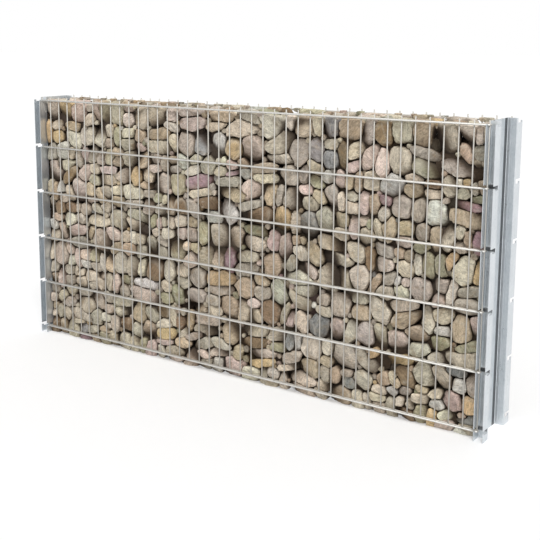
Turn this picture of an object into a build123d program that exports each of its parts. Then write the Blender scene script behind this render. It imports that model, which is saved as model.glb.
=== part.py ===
from build123d import *
from math import cos, pi
import os

# Gabion wall, one bay: two slotted steel posts carry two welded wire mats,
# and the space between the mats is filled with stones.
# Millimetres. X runs along the wall, Y points to its back and Z up.
# The origin is on the ground, under the middle of the wall.

# Wire mats
mesh_width = 50
mesh_height = 200
upright_count = 41
row_count = 6
upright_diameter = 5
line_diameter = 6
line_end = 4
spike = 15
bar_sides = 6
mat_spacing = 188

# Posts, each of two bent channels and a bent web
sheet = 2
bend = 2
post_width = 34
groove_depth = 42
edge_to_mat = 20
web_flange = 12
post_above_wire = 12

# Hook slots in the side plates of the channels
lip_width = 11
slot_depth = 38
lip_rise = 3.5
entry_height = 8.5
wire_clearance = 0.3

# Heights and fill
ground_gap = 25
fill_above_wire = 4
stone_clearance = 0.3

# The bars have flats where they meet, and are wider across their corners
upright_width = upright_diameter / cos(pi / bar_sides)
line_height = line_diameter / cos(pi / bar_sides)

# A mat holds its uprights between the two line wires of each row
mat_run = (upright_count - 1) * mesh_width
mat_length = mat_run + 2 * line_end
line_offset = (upright_diameter + line_diameter) / 2
mat_half_thickness = line_offset + line_diameter / 2
bottom_row_z = ground_gap + line_height / 2
row_heights = [bottom_row_z + mesh_height * i for i in range(row_count)]
top_row_z = row_heights[-1]
upright_length = top_row_z + spike - ground_gap

# The end uprights of the mats hook behind the side plates of the posts
bay_clear = mat_run - upright_width - 2 * (sheet + wire_clearance)
post_pitch = bay_clear + post_width
half_depth = mat_spacing / 2 + edge_to_mat
floor_back = half_depth - groove_depth - sheet
post_height = top_row_z + post_above_wire
pocket_bottom = -line_height / 2 - wire_clearance
entry_top = lip_rise + entry_height

# The fill stands on the ground, between the mats and the webs of the posts
fill_depth = mat_spacing - 2 * (mat_half_thickness + stone_clearance)
fill_length = bay_clear - 2 * stone_clearance
recess_length = post_width - sheet
recess_depth = 2 * (floor_back - sheet - bend)
lift_feet = [0] + row_heights[1:-1]
lift_tops = row_heights[1:-1] + [top_row_z + fill_above_wire]


def write_part(part, name):
    """Label a finished piece and write it under its own name."""
    part.label = name
    export_step(part, f"parts/{name}.step")


def slot_outline(side, row_z):
    """Outline of the hook slot of one row, cut in from a channel's free edge."""
    edge = side * (half_depth + sheet)
    lip = side * (half_depth - lip_width)
    end = side * (half_depth - slot_depth)
    return [
        (edge, row_z + lip_rise),
        (lip, row_z + lip_rise),
        (lip, row_z + pocket_bottom),
        (end, row_z + pocket_bottom),
        (end, row_z + entry_top),
        (edge, row_z + entry_top),
    ]


def make_channel(name, middle_x, side):
    """A channel open to the front or back, with a hook slot at every row."""
    left = middle_x - (post_width - sheet) / 2
    right = middle_x + (post_width - sheet) / 2
    edge_y = side * half_depth
    floor_y = side * (floor_back + sheet / 2)
    with BuildPart() as channel:
        with BuildSketch():
            with BuildLine():
                FilletPolyline(
                    (left, edge_y),
                    (left, floor_y),
                    (right, floor_y),
                    (right, edge_y),
                    radius=bend + sheet / 2,
                )
            trace(line_width=sheet)
        extrude(amount=post_height)
        with BuildSketch(Plane.YZ.offset(left - sheet)):
            for row_z in row_heights:
                with BuildLine():
                    Polyline(*slot_outline(side, row_z), close=True)
                make_face()
        extrude(amount=post_width + sheet, mode=Mode.SUBTRACT)
    write_part(channel.part, name)


def make_web(name, middle_x):
    """The web of a post, with a flange on the back of each channel."""
    left = middle_x - (post_width - sheet) / 2
    flange_end = left + web_flange - sheet / 2
    flange_y = floor_back - sheet / 2
    with BuildPart() as web:
        with BuildSketch():
            with BuildLine():
                FilletPolyline(
                    (flange_end, -flange_y),
                    (left, -flange_y),
                    (left, flange_y),
                    (flange_end, flange_y),
                    radius=bend + sheet / 2,
                )
            trace(line_width=sheet)
        extrude(amount=post_height)
    write_part(web.part, name)


def make_post(side_name, middle_x):
    """A post with both its channels and its web."""
    make_channel(f"{side_name}_post_front_channel", middle_x, -1)
    make_channel(f"{side_name}_post_rear_channel", middle_x, 1)
    make_web(f"{side_name}_post_web", middle_x)


def draw_line_wire(y, z):
    """Section of a line wire, with a flat towards the uprights."""
    with Locations((y, z)):
        RegularPolygon(
            line_diameter / 2, bar_sides, major_radius=False, rotation=180 / bar_sides
        )


def make_mat(side_name, side):
    """A mat's uprights with the outer line wires welded on."""
    mat_y = side * mat_spacing / 2
    with BuildPart() as mat:
        with BuildSketch(Plane.XY.offset(ground_gap)):
            with Locations((0, mat_y)):
                with GridLocations(mesh_width, 1, upright_count, 1):
                    RegularPolygon(upright_diameter / 2, bar_sides, major_radius=False)
        extrude(amount=upright_length)
        with BuildSketch(Plane.YZ.offset(-mat_length / 2)):
            for row_z in row_heights:
                draw_line_wire(mat_y + side * line_offset, row_z)
        extrude(amount=mat_length)
    write_part(mat.part, f"{side_name}_mat")


def make_inner_wires(side_name, side):
    """The inner line wires of a mat, between its uprights and the stones."""
    wire_y = side * (mat_spacing / 2 - line_offset)
    for number, row_z in enumerate(row_heights, start=1):
        with BuildPart() as wire:
            with BuildSketch(Plane.YZ.offset(-mat_length / 2)):
                draw_line_wire(wire_y, row_z)
            extrude(amount=mat_length)
        write_part(wire.part, f"{side_name}_inner_wire_{number}")


def make_lift(number, foot_z, top_z):
    """A lift of stones that also fills the hollow side of the left post."""
    with BuildPart() as lift:
        with BuildSketch(Plane.XY.offset(foot_z)):
            Rectangle(fill_length, fill_depth)
            with Locations((-fill_length / 2, 0)):
                Rectangle(
                    recess_length, recess_depth, align=(Align.MAX, Align.CENTER)
                )
        extrude(amount=top_z - foot_z)
    write_part(lift.part, f"stone_lift_{number}")


os.makedirs("parts", exist_ok=True)
make_post("left", -post_pitch / 2)
make_post("right", post_pitch / 2)
make_mat("front", -1)
make_mat("rear", 1)
make_inner_wires("front", -1)
make_inner_wires("rear", 1)
for number, (foot_z, top_z) in enumerate(zip(lift_feet, lift_tops), start=1):
    make_lift(number, foot_z, top_z)
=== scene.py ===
import math

import bpy
import numpy as np
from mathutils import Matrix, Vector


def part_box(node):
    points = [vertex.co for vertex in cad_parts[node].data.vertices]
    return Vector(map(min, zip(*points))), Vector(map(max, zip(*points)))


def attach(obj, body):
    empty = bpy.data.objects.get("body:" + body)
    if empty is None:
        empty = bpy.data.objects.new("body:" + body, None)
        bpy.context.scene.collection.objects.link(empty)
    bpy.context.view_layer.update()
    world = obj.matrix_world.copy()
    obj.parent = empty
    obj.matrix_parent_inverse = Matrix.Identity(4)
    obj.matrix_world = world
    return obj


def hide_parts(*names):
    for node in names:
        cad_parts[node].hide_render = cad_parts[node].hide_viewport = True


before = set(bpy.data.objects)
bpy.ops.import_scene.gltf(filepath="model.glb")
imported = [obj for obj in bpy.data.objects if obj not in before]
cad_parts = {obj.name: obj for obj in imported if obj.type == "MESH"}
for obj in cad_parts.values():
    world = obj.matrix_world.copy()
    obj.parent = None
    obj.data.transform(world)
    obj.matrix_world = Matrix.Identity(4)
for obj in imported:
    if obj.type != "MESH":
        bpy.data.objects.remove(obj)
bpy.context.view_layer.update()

# Metres. X runs along the wall, Y points to its back and Z up.
LIFTS = [f"stone_lift_{i}" for i in range(1, 6)]
ROW_NUMBERS = range(1, 7)
SIDES = (("front", -1), ("rear", 1))
MESH_WIDTH = 0.05
UPRIGHTS = 41
UPRIGHT_RADIUS = 0.0025
LINE_RADIUS = 0.003
SHEET = 0.002
CLEARANCE = 0.0003


def middle(node):
    """The middle of a node's box."""
    low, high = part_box(node)
    return (low + high) / 2


ROWS = [middle(f"front_inner_wire_{i}").z for i in ROW_NUMBERS]
ROW_PITCH = ROWS[1] - ROWS[0]
lift_boxes = [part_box(name) for name in LIFTS]
LIFT_TOPS = [high.z for low, high in lift_boxes]
FILL_RIGHT = lift_boxes[0][1].x
FILL_FACE = lift_boxes[0][1].y
RECESS_LEFT = lift_boxes[0][0].x
# Between the rows of wires the stones reach the uprights
UPRIGHT_FACE = -middle("front_inner_wire_1").y + LINE_RADIUS - CLEARANCE
# The hollow of the right post, from within one side plate to within the other
post_low, post_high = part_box("right_post_front_channel")
within_plate = SHEET * 0.75
HOLLOW = (post_low.x + within_plate, post_high.x - within_plate)


# Mesh gathering

class Gather:
    """Collects points, faces and attributes, and makes one mesh object of them."""

    def __init__(self):
        self.points = []
        self.faces = []
        self.values = {}
        self.count = 0

    def add(self, points, faces, **values):
        """Add a closed body. A value is one number for all its points, or a row for each."""
        self.points.append(points)
        self.faces.extend(f + self.count for f in faces)
        for key, value in values.items():
            value = np.asarray(value, np.float32)
            if value.ndim == 0:
                value = np.full(len(points), value)
            self.values.setdefault(key, []).append(value)
        self.count += len(points)

    def build(self, name, material, crease=None):
        """Make the object. Edges that turn by more than crease degrees are sharp."""
        mesh = bpy.data.meshes.new(name)
        points = np.concatenate(self.points).astype(np.float32)
        loops = np.concatenate([f.ravel() for f in self.faces]).astype(np.int32)
        totals = np.concatenate([np.full(len(f), f.shape[1]) for f in self.faces])
        starts = np.concatenate([[0], np.cumsum(totals)[:-1]]).astype(np.int32)
        mesh.vertices.add(len(points))
        mesh.vertices.foreach_set("co", points.ravel())
        mesh.loops.add(len(loops))
        mesh.loops.foreach_set("vertex_index", loops)
        mesh.polygons.add(len(totals))
        mesh.polygons.foreach_set("loop_start", starts)
        mesh.polygons.foreach_set("use_smooth", np.full(len(totals), True))
        mesh.update(calc_edges=True)
        mesh.validate()
        if crease:
            mesh.set_sharp_from_angle(angle=math.radians(crease))
        for key, parts in self.values.items():
            data = np.concatenate(parts)
            if data.ndim == 2:
                layer = mesh.color_attributes.new(key, "FLOAT_COLOR", "POINT")
                data = np.hstack([data, np.ones((len(data), 1), np.float32)])
                layer.data.foreach_set("color", data.ravel())
            else:
                layer = mesh.attributes.new(key, "FLOAT", "POINT")
                layer.data.foreach_set("value", data)
        obj = bpy.data.objects.new(name, mesh)
        bpy.context.scene.collection.objects.link(obj)
        mesh.materials.append(material)
        return obj


def ringed_faces(around, rings):
    """Faces of a closed body of rings of points, with a single point at each end."""
    here = np.arange(around)
    there = (here + 1) % around
    last = 1 + rings * around
    front_fan = np.stack([np.zeros(around, int), 1 + here, 1 + there], 1)
    back_fan = np.stack([np.full(around, last), last - around + there, last - around + here], 1)
    quads = [np.stack([a + here, a + around + here, a + around + there, a + there], 1)
             for a in range(1, last - around, around)]
    return [np.concatenate([front_fan, back_fan]), np.concatenate(quads)]


# Material helpers

def linear(colour):
    """Linear values of an sRGB colour of 0 to 255."""
    c = np.asarray(colour, float) / 255
    return np.where(c <= 0.04045, c / 12.92, ((c + 0.055) / 1.055) ** 2.4)


def rgba(colour):
    """The same with an alpha of 1, for a socket."""
    return (*[float(v) for v in linear(colour)], 1.0)


class Nodes:
    """A short way to write the nodes of a material or of the world."""

    def __init__(self, owner, out_kind="ShaderNodeOutputMaterial"):
        self.owner = owner
        owner.use_nodes = True
        self.tree = owner.node_tree
        self.tree.nodes.clear()
        self.out = self.tree.nodes.new(out_kind)

    def make(self, kind, inputs=None, **settings):
        node = self.tree.nodes.new(kind)
        for key, value in settings.items():
            setattr(node, key, value)
        for key, value in (inputs or {}).items():
            self.put(node.inputs[key], value)
        return node

    def put(self, socket, value):
        if isinstance(value, bpy.types.NodeSocket):
            self.tree.links.new(value, socket)
        elif isinstance(value, bpy.types.Node):
            self.tree.links.new(value.outputs[0], socket)
        else:
            socket.default_value = value

    def math(self, operation, a, b=0.0, clamp=False):
        return self.make("ShaderNodeMath", {0: a, 1: b}, operation=operation, use_clamp=clamp).outputs[0]

    def chain(self, operation, first, *others):
        """The values joined by one operation, from left to right."""
        joined = first
        for value in others:
            joined = self.math(operation, joined, value)
        return joined

    def noise(self, vector, scale, detail=4, rough=0.5, seed=None):
        """Noise of 0 to 1. With a seed it differs from stone to stone."""
        inputs = {"Vector": vector, "Scale": scale, "Detail": detail, "Roughness": rough}
        if seed is not None:
            inputs["W"] = seed
        dimensions = "3D" if seed is None else "4D"
        return self.make("ShaderNodeTexNoise", inputs, noise_dimensions=dimensions).outputs["Fac"]

    def span(self, value, low, high, to_low=0.0, to_high=1.0):
        inputs = {"Value": value, "From Min": low, "From Max": high, "To Min": to_low, "To Max": to_high}
        return self.make("ShaderNodeMapRange", inputs).outputs[0]

    def band(self, value, rise, fall):
        """1 where the value lies between its rise and its fall, which are both ranges."""
        return self.math("MULTIPLY", self.span(value, *rise), self.span(value, *fall, 1, 0))

    def mix(self, factor, a, b, blend="MIX"):
        node = self.make("ShaderNodeMix", data_type="RGBA", blend_type=blend)
        self.put(node.inputs[0], factor)
        self.put(node.inputs[6], a)
        self.put(node.inputs[7], b)
        return node.outputs[2]

    def attribute(self, name, output="Fac"):
        return self.make("ShaderNodeAttribute", attribute_name=name).outputs[output]

    def place(self):
        """A point's place on the object."""
        return self.make("ShaderNodeTexCoord").outputs["Object"]

    def seen(self):
        """1 for what the camera sees, straight or in a mirror or through glass."""
        path = self.make("ShaderNodeLightPath")
        rays = ("Is Camera Ray", "Is Glossy Ray", "Is Transmission Ray")
        return self.chain("MAXIMUM", *[path.outputs[ray] for ray in rays])

    def finish(self, shader):
        self.put(self.out.inputs["Surface"], shader)
        return self.owner


# Materials

RUST = (160, 131, 92)
LICHEN = (156, 154, 132)
MINERAL = (92, 80, 66)
WORN_EDGE_AND_HIGHLIGHT = (224, 216, 200)
PAINTED_SHADE_BROWN = (70, 48, 25)
PAINTED_SHADE_DARK = (31, 19, 9)
SHEET_DARK = (203, 209, 213)
SHEET_PALE = (228, 232, 235)
# The colour of the painted shade along the bends of the right web
SHEET_PAINTED_SHADE = (50, 54, 58)
# The colour of the painted shade where the wires hook in
SHEET_HOOK_SHADE = (74, 76, 78)
WIRE_DARK = (199, 197, 192)
WIRE_PALE = (225, 223, 218)
WIRE_BEIGE_GREY = (176, 169, 157)

# Painted shade on the sheet begins and ends over these distances from the middle of the wall's depth
BEND_BEGIN = (0.042, 0.045)
BEND_END = (0.0655, 0.0668)
HOOK_BEGIN = (0.0712, 0.0716)
HOOK_END = (0.101, 0.106)
# The painted shade at a hook lies a little above its row, and fades out over these distances up and down
HOOK_RISE = 0.004
HOOK_FADE = (0.005, 0.009)


def stone_material():
    """Natural stone. Its tint, its edge wear with painted highlight, and its painted shade come with the
    mesh.
    """
    n = Nodes(bpy.data.materials.new("stone_natural"))
    place = n.place()
    seed = n.attribute("stone_seed")

    def seeded(offset):
        return n.math("ADD", seed, offset)

    # Each stone's texture is turned its own way, so its layers lie its own way
    turned = n.make("ShaderNodeVectorRotate", {"Vector": place, "Axis": (0.35, 0.9, 0.25), "Angle": seed},
                    rotation_type="AXIS_ANGLE")
    layered = n.make("ShaderNodeMapping", {"Vector": turned, "Scale": (0.45, 0.7, 1.9)})
    cloud = n.noise(turned, 42, 3, 0.6, seed)
    stain = n.noise(layered, 105, 4, 0.7, seeded(7.3))
    grain = n.noise(place, 280, 4, 0.7, seeded(2.1))
    blotch = n.noise(turned, 78, 5, 0.72, seeded(13.7))
    fleck = n.make("ShaderNodeTexVoronoi", {"Vector": turned, "Scale": 210.0}).outputs["Distance"]
    # Painted light, with some dust: what faces up is lighter and what faces down darker
    normal = n.make("ShaderNodeNewGeometry").outputs["Normal"]
    up = n.make("ShaderNodeSeparateXYZ", {0: normal}).outputs[2]
    shade = n.chain("ADD", n.span(cloud, 0.32, 0.68, -0.18, 0.18), n.span(stain, 0.34, 0.66, -0.34, 0.24),
                    n.span(grain, 0.34, 0.66, -0.22, 0.20), n.span(blotch, 0.55, 0.67, 0, -0.28),
                    n.math("MULTIPLY", up, 0.10), 1.0)
    shade = n.make("ShaderNodeCombineColor", {0: shade, 1: shade, 2: shade})
    base = n.mix(1.0, n.attribute("stone_tint", "Color"), shade, "MULTIPLY")

    # Rust-brown and grey-green stains
    rust = n.span(n.noise(turned, 36, 5, 0.65, seeded(31.0)), 0.52, 0.70, 0, 0.45)
    base = n.mix(rust, base, rgba(RUST))
    lichen = n.span(n.noise(turned, 52, 5, 0.65, seeded(57.0)), 0.56, 0.74, 0, 0.42)
    base = n.mix(lichen, base, rgba(LICHEN))
    # Dark mineral flecks on some, and paler edges on all: worn, and a painted highlight
    flecked = n.span(n.attribute("stone_kind"), 0.5, 0.2, 0, 0.6)
    base = n.mix(n.math("MULTIPLY", n.span(fleck, 0.12, 0.28, 1, 0), flecked), base, rgba(MINERAL))
    base = n.mix(n.math("MULTIPLY", n.attribute("stone_wear"), 0.40), base, rgba(WORN_EDGE_AND_HIGHLIGHT))
    # Painted shade sits behind the front of the fill, first brown, then near black
    painted_shade = n.attribute("stone_soil")
    base = n.mix(n.span(painted_shade, 0.0, 0.55), base, n.mix(0.76, base, rgba(PAINTED_SHADE_BROWN)))
    base = n.mix(n.span(painted_shade, 0.35, 1.0), base, rgba(PAINTED_SHADE_DARK))

    # Heights in metres
    height = n.chain("ADD", n.math("MULTIPLY", stain, 0.0022), n.math("MULTIPLY", grain, 0.0014),
                     n.span(fleck, 0.0, 0.25, 0, 0.0004), n.span(blotch, 0.54, 0.66, 0, -0.0008))
    bump = n.make("ShaderNodeBump", {"Strength": 1.0, "Distance": 1.0, "Height": height})
    shader = n.make("ShaderNodeBsdfPrincipled", {
        "Base Color": base, "Roughness": n.span(stain, 0.3, 0.7, 0.74, 0.93), "Normal": bump,
        "Specular IOR Level": 0.3})
    return n.finish(shader.outputs[0])


def zinc_sheet_material():
    """Galvanised sheet with fine spangle and streaks."""
    n = Nodes(bpy.data.materials.new("zinc_sheet"))
    place = n.place()
    drawn = n.make("ShaderNodeMapping", {"Vector": place, "Scale": (1.0, 1.0, 0.045)})
    streak = n.noise(drawn, 260, 3, 0.55)
    cloud = n.noise(place, 14, 3, 0.5)
    spangle = n.make("ShaderNodeTexVoronoi", {"Vector": place, "Scale": 130.0, "Randomness": 1.0})
    cell = n.make("ShaderNodeSeparateColor", {0: spangle.outputs["Color"]}).outputs[0]
    shade = n.chain("ADD", n.span(cell, 0, 1, -0.16, 0.16), n.span(streak, 0.3, 0.7, -0.2, 0.2),
                    n.span(cloud, 0.3, 0.7, -0.2, 0.2))
    base = n.mix(n.math("ADD", shade, 0.5, clamp=True), rgba(SHEET_DARK), rgba(SHEET_PALE))
    where = n.make("ShaderNodeSeparateXYZ", {0: place})
    along = n.math("ABSOLUTE", where.outputs[0])
    across = n.math("ABSOLUTE", where.outputs[1])
    up = where.outputs[2]
    # Painted shade along the two bends of the right web
    right_post = n.math("GREATER_THAN", where.outputs[0], HOLLOW[0])
    bend_shade = n.math("MULTIPLY", n.band(across, BEND_BEGIN, BEND_END), right_post)
    base = n.mix(n.math("MULTIPLY", bend_shade, 0.92), base, rgba(SHEET_PAINTED_SHADE))
    # Painted shade inside the channels where the wires hook in, below the top row
    from_row = n.math("PINGPONG", n.math("SUBTRACT", up, ROWS[0] + HOOK_RISE), ROW_PITCH / 2)
    at_row = n.math("MULTIPLY", n.span(from_row, *HOOK_FADE, 1, 0),
                    n.math("LESS_THAN", up, ROWS[-1] - ROW_PITCH / 2))
    inside = n.math("MULTIPLY", n.math("GREATER_THAN", along, HOLLOW[0]),
                    n.math("LESS_THAN", along, HOLLOW[1]))
    uneven = n.span(cloud, 0.35, 0.55, 0.55, 0.95)
    hook_shade = n.chain("MULTIPLY", at_row, n.band(across, HOOK_BEGIN, HOOK_END), inside, uneven)
    base = n.mix(hook_shade, base, rgba(SHEET_HOOK_SHADE))
    rough = n.math("ADD", n.span(cell, 0, 1, 0.30, 0.40), n.span(streak, 0.3, 0.7, -0.04, 0.04))
    height = n.math("ADD", cell, streak)
    bump = n.make("ShaderNodeBump", {"Strength": 0.12, "Distance": 0.0004, "Height": height})
    shader = n.make("ShaderNodeBsdfPrincipled", {
        "Base Color": base, "Metallic": 0.75, "Roughness": rough, "Normal": bump})
    return n.finish(shader.outputs[0])


def zinc_wire_material():
    """Galvanised wire. How far it turns a darker beige grey comes with the mesh."""
    n = Nodes(bpy.data.materials.new("zinc_wire"))
    place = n.place()
    cloud = n.noise(place, 60, 3, 0.55)
    grain = n.noise(place, 900, 2, 0.5)
    level = n.math("ADD", n.span(cloud, 0.3, 0.7, 0.2, 0.8), n.span(grain, 0.3, 0.7, -0.15, 0.15),
                   clamp=True)
    base = n.mix(level, rgba(WIRE_DARK), rgba(WIRE_PALE))
    base = n.mix(n.attribute("wire_dust"), base, rgba(WIRE_BEIGE_GREY))
    height = n.math("ADD", cloud, grain)
    bump = n.make("ShaderNodeBump", {"Strength": 0.15, "Distance": 0.0003, "Height": height})
    rough = n.span(cloud, 0.3, 0.7, 0.40, 0.54)
    shader = n.make("ShaderNodeBsdfPrincipled", {
        "Base Color": base, "Metallic": 0.5, "Roughness": rough, "Normal": bump})
    return n.finish(shader.outputs[0])


# Stones

# Each stone colour and how common it is
PALETTE = {
    "sand": ((204, 192, 171), 0.24),
    "cream": ((215, 206, 187), 0.14),
    "tan": ((191, 173, 148), 0.14),
    "greige": ((182, 172, 157), 0.17),
    "blush": ((208, 190, 177), 0.13),
    "olive": ((170, 165, 138), 0.04),
    "slate": ((150, 150, 146), 0.022),
    "ochre": ((203, 177, 138), 0.032),
    "umber": ((143, 122, 97), 0.03),
    "mauve": ((172, 144, 147), 0.012),
    "chalk": ((215, 211, 201), 0.045),
}
COLOURS = [linear(colour) for colour, share in PALETTE.values()]
COLOUR_SHARES = np.array([share for colour, share in PALETTE.values()])
COLOUR_SHARES /= COLOUR_SHARES.sum()

# Groups of stones in a course: how wide they are, and how common at the ends of the wall
GROUP_WIDTHS = {
    "upright": (0.026, 0.046),
    "block": (0.046, 0.086),
    "pair": (0.042, 0.074),
    "slabs": (0.090, 0.165),
    "three": (0.042, 0.074),
}
GROUP_SHARES = np.array([0.34, 0.30, 0.24, 0.06, 0.06])
# Long flat stones lie mostly near the middle of the wall, upright ones towards its ends
MIDDLE_SHIFT = np.array([-0.22, 0, 0, 0.22, 0])
MIDDLE_X = -0.15
MIDDLE_REACH = 0.42

# Steps of the grid that the stones share out, and along the rays of a stone
GRID_STEP = 0.004
RAY_STEP = 0.0015

# Stones end just above the ground
GROUND = 0.0004

# Painted shade begins behind the unshaded front and top of a stone, and near a post, and grows over a
# depth
UNSHADED_FRONT = 0.009
FRONT_DEPTH = 0.022
UNSHADED_TOP = 0.010
TOP_DEPTH = 0.020
NEAR_POST = 0.007
POST_DEPTH = 0.010


class StoneGrid:
    """Directions and faces of a closed stone: rings round its outward axis and a fan at each end."""

    def __init__(self, around, rings):
        self.around = around
        self.angles = np.arange(around) * 2 * math.pi / around
        self.rays = np.stack([np.cos(self.angles), np.sin(self.angles)], 1)
        tilt = np.concatenate([[math.pi / 2], np.repeat(np.radians(rings), around), [-math.pi / 2]])
        turn = np.concatenate([[0], np.tile(self.angles, len(rings)), [0]])
        across, out = np.cos(tilt), np.sin(tilt)
        self.flat = np.abs(across)
        self.directions = np.stack([across * np.cos(turn), across * np.sin(turn), out], 1)
        self.index = np.concatenate([[0], np.tile(np.arange(around), len(rings)), [0]])
        self.faces = ringed_faces(around, len(rings))


FINE = StoneGrid(30, (77, 63, 50, 38, 27, 15, 2, -32))
COARSE = StoneGrid(15, (60, 34, 6, -24, -54))


def metric(delta, half, turn):
    """Length of delta in a stone's own measure, which is 1 on its ellipse."""
    c, s = np.cos(turn), np.sin(turn)
    x = delta[..., 0] * c + delta[..., 1] * s
    y = -delta[..., 0] * s + delta[..., 1] * c
    return np.sqrt((x / half[0]) ** 2 + (y / half[1]) ** 2)


def next_group(rng, u, v, tall, scale):
    """The next group of stones in a course: its length and its stones' centres and sizes."""
    calm = math.exp(-((u - MIDDLE_X) / MIDDLE_REACH) ** 2)
    shares = GROUP_SHARES + calm * MIDDLE_SHIFT
    kind = rng.choice(tuple(GROUP_WIDTHS), p=shares / shares.sum())
    wide = rng.uniform(*GROUP_WIDTHS[kind]) * scale
    if kind == "upright":
        return wide, [(u + wide / 2, v + tall / 2, wide, tall * rng.uniform(0.95, 1.12))]
    if kind == "block":
        return wide, [(u + wide / 2, v + tall / 2, wide, tall)]
    low = tall * rng.uniform(0.36, 0.64)
    stones = [(u + wide / 2, v + low / 2, wide, low)]
    if kind == "three":
        cut = rng.uniform(0.35, 0.65)
        stones += [(u + wide * cut / 2, v + (low + tall) / 2, wide * cut, tall - low),
                   (u + wide * (1 + cut) / 2, v + (low + tall) / 2, wide * (1 - cut), tall - low)]
    else:
        stones += [(u + wide / 2, v + (low + tall) / 2, wide, tall - low)]
    return wide, stones


def lay_courses(rng, low, high, course, scale):
    """Centres and sizes of stones in slightly wavy courses, as rows of u, v, width and height."""
    least_course = 0.02
    least_rest = 0.04
    wave_height = 0.008
    overrun = 0.03
    planned = []
    v = low[1]
    while v < high[1] - least_course:
        tall = rng.uniform(*course)
        if high[1] - (v + tall) < least_rest:
            tall = high[1] - v
        wave_length = rng.uniform(0.25, 0.6)
        phase = rng.uniform(0, 6.28)
        u = low[0] - rng.uniform(0, overrun)
        while u < high[0]:
            wide, stones = next_group(rng, u, v, tall, scale)
            lift = wave_height * math.sin(u * 2 * math.pi / wave_length + phase)
            planned += [(x, y + lift, w, h) for x, y, w, h in stones]
            u += wide
        v += tall
    return np.array(planned)


def grid_of(low, high):
    """Places of a square grid over a rectangle."""
    us = np.arange(low[0] + GRID_STEP / 2, high[0], GRID_STEP)
    vs = np.arange(low[1] + GRID_STEP / 2, high[1], GRID_STEP)
    return us, vs, *np.meshgrid(us, vs)


def window_of(us, vs, centre, span):
    """The part of a grid that lies within a span of a centre."""
    u0, u1 = np.searchsorted(us, (centre[0] - span, centre[0] + span))
    v0, v1 = np.searchsorted(vs, (centre[1] - span, centre[1] + span))
    return slice(v0, v1), slice(u0, u1)


def plan_stones(rng, low, high, course, scale):
    """Centres, half sizes and turns of stones that share a rectangle out among them."""
    jitter = 0.004
    edge = 0.012
    reach = 0.12
    rounds = 3
    least_cells = 12
    planned = lay_courses(rng, low, high, course, scale)
    centres = planned[:, :2] + rng.normal(0, jitter, (len(planned), 2))
    halves = planned[:, 2:] / 2
    # Nearly half of the stones lie well out of line
    turns = rng.normal(0, 1, len(planned)) * np.where(rng.random(len(planned)) < 0.45, 0.50, 0.16)
    centres = np.clip(centres, np.array(low) + edge, np.array(high) - edge)

    # Every stone moves to the middle of the cells that are nearest to it
    us, vs, uu, vv = grid_of(low, high)
    for _ in range(rounds):
        best = np.full(uu.shape, 1e9)
        owner = np.full(uu.shape, -1)
        for i, (centre, half, turn) in enumerate(zip(centres, halves, turns)):
            window = window_of(us, vs, centre, reach)
            far = metric(np.stack([uu[window], vv[window]], -1) - centre, half, turn)
            nearer = far < best[window]
            best[window][nearer] = far[nearer]
            owner[window][nearer] = i
        held = owner.ravel() >= 0
        owners = owner.ravel()[held]
        cells = np.bincount(owners, minlength=len(centres))
        count = np.maximum(cells, 1)
        mean_u = np.bincount(owners, uu.ravel()[held], len(centres)) / count
        mean_v = np.bincount(owners, vv.ravel()[held], len(centres)) / count
        keep = cells > least_cells
        centres = np.stack([mean_u, mean_v], 1)[keep]
        halves, turns, count = halves[keep], turns[keep], count[keep]
    growth = np.sqrt(count * GRID_STEP * GRID_STEP / (math.pi * halves[:, 0] * halves[:, 1]))
    return centres, halves * growth[:, None], turns


def rounded(rng, reach, half, turn):
    """The reach of a stone whose own shape is a soft rectangle."""
    power = 2.8
    c, s = np.cos(FINE.angles - turn), np.sin(FINE.angles - turn)
    own_shape = (np.abs(c / half[0]) ** power + np.abs(s / half[1]) ** power) ** (-1 / power)
    return np.minimum(reach, own_shape * rng.uniform(1.06, 1.20))


def broken_off(rng, reach):
    """The reach of a stone that is broken to a few straight sides."""
    uneven = 0.3
    sides = rng.integers(4, 7)
    first_side = rng.uniform(0, 2 * math.pi)
    for k in range(sides):
        side = k + rng.uniform(-uneven, uneven)
        toward = np.cos(FINE.angles - first_side - side * 2 * math.pi / sides)
        support = (reach * toward).max()
        reach = np.minimum(reach, support * rng.uniform(0.86, 0.99) / np.clip(toward, 1e-3, None))
    return reach


def outline(rng, i, centres, halves, turns, low, high, gap, broken):
    """How far stone i reaches along each ray, up to its neighbours and the edge."""
    least_reach = 0.004
    longest = 0.125
    neighbours = 16
    steps = np.arange(least_reach, longest, RAY_STEP)
    points = FINE.rays[:, None, :] * steps[None, :, None]
    own = metric(points, halves[i], turns[i])
    nearest = np.full(own.shape, 1e9)
    order = np.argsort(((centres - centres[i]) ** 2).sum(1))
    for j in order[1:neighbours + 1]:
        nearest = np.minimum(nearest, metric(points + centres[i] - centres[j], halves[j], turns[j]))
    # A ray ends where a neighbour gets nearer than the stone itself
    excess = own - nearest
    crossed = excess > 0
    first = np.where(crossed.any(1), crossed.argmax(1), len(steps) - 1)
    rows = np.arange(len(first))
    before = excess[rows, np.maximum(first - 1, 0)]
    after = excess[rows, first]
    share = np.clip(-before / np.maximum(after - before, 1e-9), 0, 1)
    reach = steps[np.maximum(first - 1, 0)] + share * RAY_STEP - gap / 2
    if gap > 0:
        reach = broken_off(rng, reach) if broken else rounded(rng, reach, halves[i], turns[i])
    # The edge of the fill
    for axis in range(2):
        ray = FINE.rays[:, axis]
        edge = np.where(ray > 0, high[axis], low[axis]) - centres[i][axis]
        sloped = np.abs(ray) > 1e-6
        reach[sloped] = np.minimum(reach[sloped], edge[sloped] / ray[sloped])
    reach = np.maximum(reach, least_reach)
    own_weight = 14 if broken else 2
    soft = (np.roll(reach, 1) + own_weight * reach + np.roll(reach, -1)) / (2 + own_weight)
    return np.minimum(soft, reach * 1.05)


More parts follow.
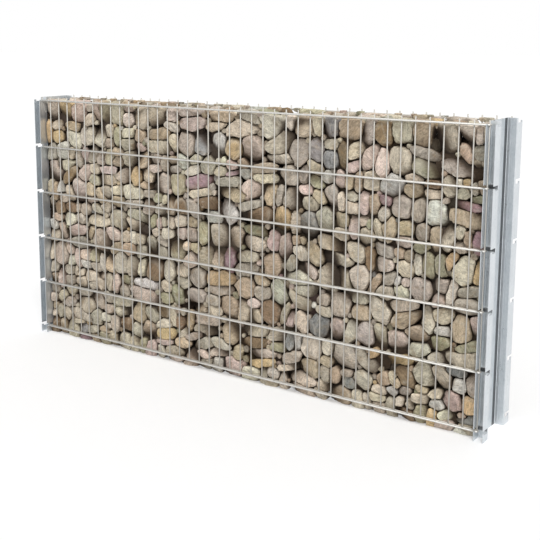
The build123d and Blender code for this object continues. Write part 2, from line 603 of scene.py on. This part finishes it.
def open_spots(centres, reaches, low, high):
    """Middles and radii of the holes left between the stones, the widest first."""
    least_radius = 0.0062
    span = 0.14
    us, vs, uu, vv = grid_of(low, high)
    clear = np.minimum(np.minimum(uu - low[0], high[0] - uu), np.minimum(vv - low[1], high[1] - vv))
    for centre, reach in zip(centres, reaches):
        window = window_of(us, vs, centre, span)
        du, dv = uu[window] - centre[0], vv[window] - centre[1]
        rim = np.interp(np.arctan2(dv, du) % (2 * math.pi), FINE.angles, reach, period=2 * math.pi)
        clear[window] = np.minimum(clear[window], np.hypot(du, dv) - rim)
    spots = []
    while clear.max() > least_radius:
        k = clear.argmax()
        u, v, radius = uu.flat[k], vv.flat[k], clear.flat[k]
        spots.append((u, v, radius))
        clear = np.minimum(clear, np.hypot(uu - u, vv - v) - radius)
    return spots


def facet(rng, low_tilt, high_tilt):
    """A random plane's normal, tilted from the outward axis."""
    tilt = rng.uniform(low_tilt, high_tilt)
    side = rng.uniform(0, 2 * math.pi)
    return np.array([math.sin(tilt) * math.cos(side), math.sin(tilt) * math.sin(side), math.cos(tilt)])


# Cuts across a stone: the least and most tilt, and how near and far from its middle they pass
FRONT_CUT = (0.25, 0.75, 0.74, 0.94)
SHOULDER_CUT = (0.75, 1.25, 0.80, 0.96)
SOFT_CUT = (0.4, 1.2, 0.86, 0.98)
# How crisp the edges of broken and of rounded stones are
BROKEN_CRISP = (22.0, 50.0)
ROUND_CRISP = (3.6, 6.5)


def stone_points(rng, grid, reach, ahead, behind, broken):
    """Points of one stone about its centre, as a rounded body cut by facets, and its edge wear and
    painted highlight.
    """
    lean_spread = 0.20
    waves = 6
    wave_height = 0.013
    directions = grid.directions
    crisp = rng.uniform(*(BROKEN_CRISP if broken else ROUND_CRISP))
    lean = rng.normal(0, lean_spread, 2)
    front = np.array([lean[0], lean[1], 1.0]) / math.sqrt(1 + lean @ lean)
    terms = [grid.flat / reach[grid.index],
             np.clip(directions @ front, 0, None) / ahead,
             np.clip(-directions[:, 2], 0, None) / behind]
    body = sum(t ** crisp for t in terms) ** (-1 / crisp)
    if broken:
        cuts = [FRONT_CUT] * rng.integers(2, 4) + [SHOULDER_CUT] * rng.integers(2, 5)
    else:
        cuts = [SOFT_CUT] * rng.integers(1, 4)
    for low_tilt, high_tilt, near, far in cuts:
        toward = directions @ facet(rng, low_tilt, high_tilt)
        support = (body * toward).max()
        terms.append(np.clip(toward, 0, None) / (support * rng.uniform(near, far)))
    crisp += 2
    powered = np.stack(terms) ** crisp
    total = powered.sum(0)
    # Edges are where no single face rules
    wear_and_highlight = np.clip((1 - powered.max(0) / total - 0.2) / 0.35, 0, 1)
    points = directions * (total ** (-1 / crisp))[:, None]
    # Low waves in the surface
    swell = np.zeros(len(points))
    for _ in range(waves):
        wave = rng.normal(0, 1, 3)
        wave *= rng.uniform(1.5, 5.0) * 2 / (np.linalg.norm(wave) * reach.mean())
        swell += np.sin(points @ wave + rng.uniform(0, 6.28)) * rng.uniform(0.3, 1.0)
    return points * (1 + wave_height * swell)[:, None], wear_and_highlight


def add_stone(lifts, rng, grid, place, wear_and_highlight, painted_shade):
    """Put one stone into the lift that its middle is in."""
    most_painted_shade = 0.96
    pick = rng.choice(len(COLOURS), p=COLOUR_SHARES)
    colour = COLOURS[pick] * math.exp(rng.normal(0.07, 0.11)) * np.exp(rng.normal(0, 0.02, 3))
    height = place[:, 2].mean()
    level = next((k for k, top in enumerate(LIFT_TOPS) if height < top), len(LIFT_TOPS) - 1)
    lifts[level].add(place, grid.faces, stone_tint=np.tile(colour, (len(place), 1)),
                     stone_seed=rng.uniform(0, 90), stone_kind=rng.random(),
                     stone_wear=wear_and_highlight, stone_soil=np.clip(painted_shade, 0, most_painted_shade))


def face_painted_shade(out, x, z, top, front):
    """How much painted shade a point of a face stone carries: more behind its front and beside the posts.
    """
    behind = (front - UNSHADED_FRONT - out) / FRONT_DEPTH
    # Painted shadow beside the posts
    beside = (np.abs(x) - FILL_RIGHT + NEAR_POST) / POST_DEPTH
    # The stones of the top row carry no painted shade on top
    below = (top - UNSHADED_TOP - z) / TOP_DEPTH
    return np.clip(np.minimum(np.maximum(behind, beside), below), 0, 1)


def lay_face(lifts, seed, side):
    """The stones that show through one mat."""
    rng = np.random.default_rng(seed)
    low, high = (-FILL_RIGHT, 0.0), (FILL_RIGHT, 1.031)
    tops = (1.018, 1.034) if side < 0 else (1.028, 1.038)
    below_ground = -0.014
    small = 0.024
    behind = 0.021
    wire_reach = 0.0055
    innermost = 0.0405
    centres, halves, turns = plan_stones(rng, low, high, course=(0.063, 0.096), scale=1.08)
    reaches = []
    for i in range(len(centres)):
        broken = rng.random() < 0.80
        size = float(halves[i].min())
        sunk = rng.uniform(0.004, 0.010) if size < small and rng.random() < 0.25 else 0.0
        gap = 0.001 if sunk else rng.uniform(0.0015, 0.0062)
        top = rng.uniform(*tops)
        reach = outline(rng, i, centres, halves, turns, (low[0], below_ground), (high[0], top),
                        gap, broken)
        reaches.append(reach)
        ahead = float(np.clip(size * rng.uniform(0.55, 0.8), 0.011, 0.022))
        points, wear_and_highlight = stone_points(rng, FINE, reach, ahead, behind, broken)
        z = np.clip(points[:, 1] + centres[i][1], GROUND, None)
        out = points[:, 2] - points[:, 2].max() + UPRIGHT_FACE - abs(rng.normal(0, 0.0028))
        # A stone at a row of wires rests against the inner one
        at_wire = np.min(np.abs(z[:, None] - np.array(ROWS)), axis=1) < wire_reach
        back = max(0.0, out[at_wire].max() - FILL_FACE) if at_wire.any() else 0.0
        out -= max(back, sunk)
        out = np.maximum(out, innermost)
        x = np.clip(points[:, 0] + centres[i][0], low[0], high[0]) * -side
        # A stone that lies back carries nearly as little painted shade in front as the others
        front = 0.35 * UPRIGHT_FACE + 0.65 * out.max()
        place = np.stack([x, side * out, z], 1)
        add_stone(lifts, rng, FINE, place, wear_and_highlight, face_painted_shade(out, x, z, top, front))
    fill_holes(lifts, rng, side, centres, reaches)


def fill_holes(lifts, rng, side, centres, reaches):
    """Small stones in the holes of a face, and in the notches between the stones of its top row."""
    low, high = (-FILL_RIGHT, 0.0), (FILL_RIGHT, 1.028 if side < 0 else 1.042)
    behind = 0.015
    unshaded_above = 1.034
    highest = 1.037
    for u, v, radius in open_spots(centres, reaches, low, high):
        reach = radius * rng.uniform(1.2, 1.6) * np.exp(rng.normal(0, 0.08, COARSE.around))
        points, wear_and_highlight = stone_points(rng, COARSE, reach, radius, behind, True)
        x = np.clip(points[:, 0] + u, low[0], high[0]) * -side
        z = np.clip(points[:, 1] + v, GROUND, highest)
        out = points[:, 2] - points[:, 2].max() + UPRIGHT_FACE - rng.uniform(0.009, 0.015)
        place = np.stack([x, side * out, z], 1)
        add_stone(lifts, rng, COARSE, place, wear_and_highlight, face_painted_shade(out, x, z, unshaded_above, UPRIGHT_FACE))


def lay_inner(lifts, seed, side):
    """The stones behind the face, seen only as dark shapes in its gaps."""
    rng = np.random.default_rng(seed)
    low, high = (RECESS_LEFT, 0.0), (FILL_RIGHT, 0.975)
    ahead = 0.034
    behind = 0.030
    middle_out = 0.030
    innermost = 0.0005
    outermost = 0.064
    overlap = 0.006
    # The inner stones carry painted shade all over
    painted_shade = 0.82
    centres, halves, turns = plan_stones(rng, low, high, course=(0.10, 0.13), scale=1.7)
    every = FINE.around // COARSE.around
    for i in range(len(centres)):
        reach = outline(rng, i, centres, halves, turns, (low[0], GROUND), high, -overlap, True)
        points, wear_and_highlight = stone_points(rng, COARSE, reach[::every], ahead, behind, True)
        out = np.clip(points[:, 2] + middle_out, innermost, outermost)
        x = np.clip(points[:, 0] + centres[i][0], low[0], high[0])
        if side > 0:
            x = (low[0] + high[0]) - x
        place = np.stack([x, side * out, np.clip(points[:, 1] + centres[i][1], 0, None)], 1)
        add_stone(lifts, rng, COARSE, place, wear_and_highlight, np.full(len(place), painted_shade))


def lay_top(lifts, seed):
    """The stones along the middle of the top, and in the hollow side of the left post."""
    rng = np.random.default_rng(seed)
    half_width = 0.042
    behind = 0.022
    unshaded_depth = 0.018
    lowest = 0.976
    low, high = (RECESS_LEFT, -half_width), (FILL_RIGHT, half_width)
    centres, halves, turns = plan_stones(rng, low, high, course=(0.036, 0.05), scale=0.95)
    for i in range(len(centres)):
        broken = rng.random() < 0.7
        reach = outline(rng, i, centres, halves, turns, low, high, rng.uniform(0.001, 0.005), broken)
        points, wear_and_highlight = stone_points(rng, FINE, reach, rng.uniform(0.014, 0.022), behind, broken)
        top = rng.uniform(1.022, 1.036)
        up = points[:, 2] - points[:, 2].max() + top
        # Painted shade below the top of each stone
        painted_shade = np.clip((top - up - unshaded_depth) / TOP_DEPTH, 0, 1)
        up = np.maximum(up, lowest)
        place = np.stack([points[:, 0] + centres[i][0], points[:, 1] + centres[i][1], up], 1)
        add_stone(lifts, rng, FINE, place, wear_and_highlight, painted_shade)


stone = stone_material()
lifts = [Gather() for _ in LIFTS]
lay_face(lifts, 11, -1)
lay_face(lifts, 29, 1)
lay_inner(lifts, 41, -1)
lay_inner(lifts, 43, 1)
lay_top(lifts, 57)
for gather, name in zip(lifts, LIFTS):
    piece = gather.build(name.replace("stone_lift", "stones"), stone, crease=30)
    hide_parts(name)
    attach(piece, "root")


# Wires

def wire_points(start, end, radius, sides):
    """Points and faces of a round wire with its cut ends slightly broken."""
    trim = 0.0007
    end_share = 0.72
    start, end = np.asarray(start, float), np.asarray(end, float)
    along = end - start
    length = np.linalg.norm(along)
    along /= length
    across = np.cross(along, (0, 1.0, 0))
    across /= np.linalg.norm(across)
    up = np.cross(along, across)
    turn = (np.arange(sides) + 0.5) * 2 * math.pi / sides
    circle = np.cos(turn)[:, None] * across + np.sin(turn)[:, None] * up
    stations = [(0.0, end_share), (trim, 1.0), (length - trim, 1.0), (length, end_share)]
    points = [start + along * s + circle * radius * share for s, share in stations]
    here = np.arange(sides)
    there = (here + 1) % sides
    quads = [np.stack([a + here, a + there, a + sides + there, a + sides + here], 1)
             for a in range(0, 3 * sides, sides)]
    points += [start[None], end[None]]
    first, last = 4 * sides, 4 * sides + 1
    caps = [np.stack([np.full(sides, first), there, here], 1),
            np.stack([np.full(sides, last), 3 * sides + here, 3 * sides + there], 1)]
    return np.concatenate(points), [np.concatenate(quads), np.concatenate(caps)]


def weld_points(centre, half):
    """A small weld nugget."""
    sides = 8
    ring_out = 0.62
    ring_share = 0.78
    turn = np.arange(sides) * 2 * math.pi / sides
    rings = [(-ring_out, ring_share), (0.0, 1.0), (ring_out, ring_share)]
    points = [np.array([[0, -1.0, 0]])]
    points += [np.stack([np.cos(turn) * r, np.full(sides, y), np.sin(turn) * r], 1) for y, r in rings]
    points += [np.array([[0, 1.0, 0]])]
    points = np.concatenate(points) * np.asarray(half) + np.asarray(centre)
    return points, ringed_faces(sides, len(rings))


# How far each wire turns a darker beige grey
UPRIGHT_BEIGE = 0.42
OUTER_BEIGE = 0.0
INNER_BEIGE = 0.6
WELD_BEIGE = 0.3
UPRIGHT_SIDES = 10
LINE_SIDES = 12
WELD_HALF = (0.0034, 0.0018, 0.0037)

wire = zinc_wire_material()
for name, side in SIDES:
    mat_low, mat_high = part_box(f"{name}_mat")
    inner_y = middle(f"{name}_inner_wire_1").y
    upright_y = inner_y + side * (UPRIGHT_RADIUS + LINE_RADIUS)
    outer_y = upright_y + side * (UPRIGHT_RADIUS + LINE_RADIUS)
    outer, inner = Gather(), Gather()
    xs = [MESH_WIDTH * (k - (UPRIGHTS - 1) / 2) for k in range(UPRIGHTS)]
    for x in xs:
        foot, tip = (x, upright_y, mat_low.z), (x, upright_y, mat_high.z)
        outer.add(*wire_points(foot, tip, UPRIGHT_RADIUS, UPRIGHT_SIDES), wire_dust=UPRIGHT_BEIGE)
    for z in ROWS:
        for gather, y, beige in ((outer, outer_y, OUTER_BEIGE), (inner, inner_y, INNER_BEIGE)):
            left, right = (mat_low.x, y, z), (mat_high.x, y, z)
            gather.add(*wire_points(left, right, LINE_RADIUS, LINE_SIDES), wire_dust=beige)
        for x in xs:
            for gather, away in ((outer, side), (inner, -side)):
                weld = weld_points((x, upright_y + away * UPRIGHT_RADIUS, z), WELD_HALF)
                gather.add(*weld, wire_dust=WELD_BEIGE)
    piece = outer.build(f"{name}_mat_wires", wire)
    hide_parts(f"{name}_mat")
    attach(piece, "root")
    piece = inner.build(f"{name}_inner_wires", wire)
    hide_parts(*[f"{name}_inner_wire_{i}" for i in ROW_NUMBERS])
    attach(piece, "root")

# The posts keep the shape they come with
sheet = zinc_sheet_material()
for name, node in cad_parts.items():
    if "_post_" in name:
        node.data.materials.clear()
        node.data.materials.append(sheet)


# Stage, light and camera

WHITE = (1, 1, 1, 1)


def white_floor(half, grey, glow, drop):
    """A pale floor just under the wall, white where nothing shades it."""
    n = Nodes(bpy.data.materials.new("studio_floor"))
    diffuse = n.make("ShaderNodeBsdfDiffuse", {"Color": (grey, grey, grey, 1)})
    strength = n.math("MULTIPLY", n.seen(), glow)
    lit = n.make("ShaderNodeEmission", {"Color": WHITE, "Strength": strength})
    both = n.make("ShaderNodeAddShader", {0: diffuse, 1: lit})
    corners = [(-half, -half, 0), (half, -half, 0), (half, half, 0), (-half, half, 0)]
    mesh = bpy.data.meshes.new("floor")
    mesh.from_pydata(corners, [], [(0, 1, 2, 3)])
    mesh.materials.append(n.finish(both))
    floor = bpy.data.objects.new("floor", mesh)
    bpy.context.scene.collection.objects.link(floor)
    floor.location.z = -drop


def white_world(strength):
    """Even white light, which the camera and glossy surfaces see as plain white."""
    n = Nodes(bpy.data.worlds.new("studio"), "ShaderNodeOutputWorld")
    light = n.make("ShaderNodeBackground", {"Color": WHITE, "Strength": strength})
    backdrop = n.make("ShaderNodeBackground", {"Color": WHITE, "Strength": 1.0})
    blend = n.make("ShaderNodeMixShader", {0: n.seen(), 1: light, 2: backdrop})
    bpy.context.scene.world = n.finish(blend)


def soft_sun(azimuth, elevation, strength, spread):
    """A wide sun. Azimuth 0 is in front of the wall and 90 at its right end."""
    lamp = bpy.data.lights.new("soft_sun", "SUN")
    lamp.energy = strength
    lamp.angle = math.radians(spread)
    obj = bpy.data.objects.new("soft_sun", lamp)
    bpy.context.scene.collection.objects.link(obj)
    obj.rotation_euler = (math.radians(90 - elevation), 0, math.radians(azimuth))


def aim_camera(location, azimuth, elevation, lens, shift):
    """A camera that looks down by its elevation, from the right by its azimuth."""
    data = bpy.data.cameras.new("camera")
    camera = bpy.data.objects.new("camera", data)
    bpy.context.scene.collection.objects.link(camera)
    camera.location = location
    camera.rotation_euler = (math.radians(90 - elevation), 0, math.radians(azimuth))
    data.sensor_width = 36
    data.lens = lens
    data.shift_x, data.shift_y = shift
    bpy.context.scene.camera = camera


white_floor(half=60.0, grey=0.84, glow=0.20, drop=0.0005)
white_world(0.53)
soft_sun(azimuth=38, elevation=52, strength=1.85, spread=25)
aim_camera((2.110, -2.955, 1.298), azimuth=35.93, elevation=9.32, lens=64.1, shift=(0.06, -0.14))
bpy.context.scene.view_settings.view_transform = "Standard"
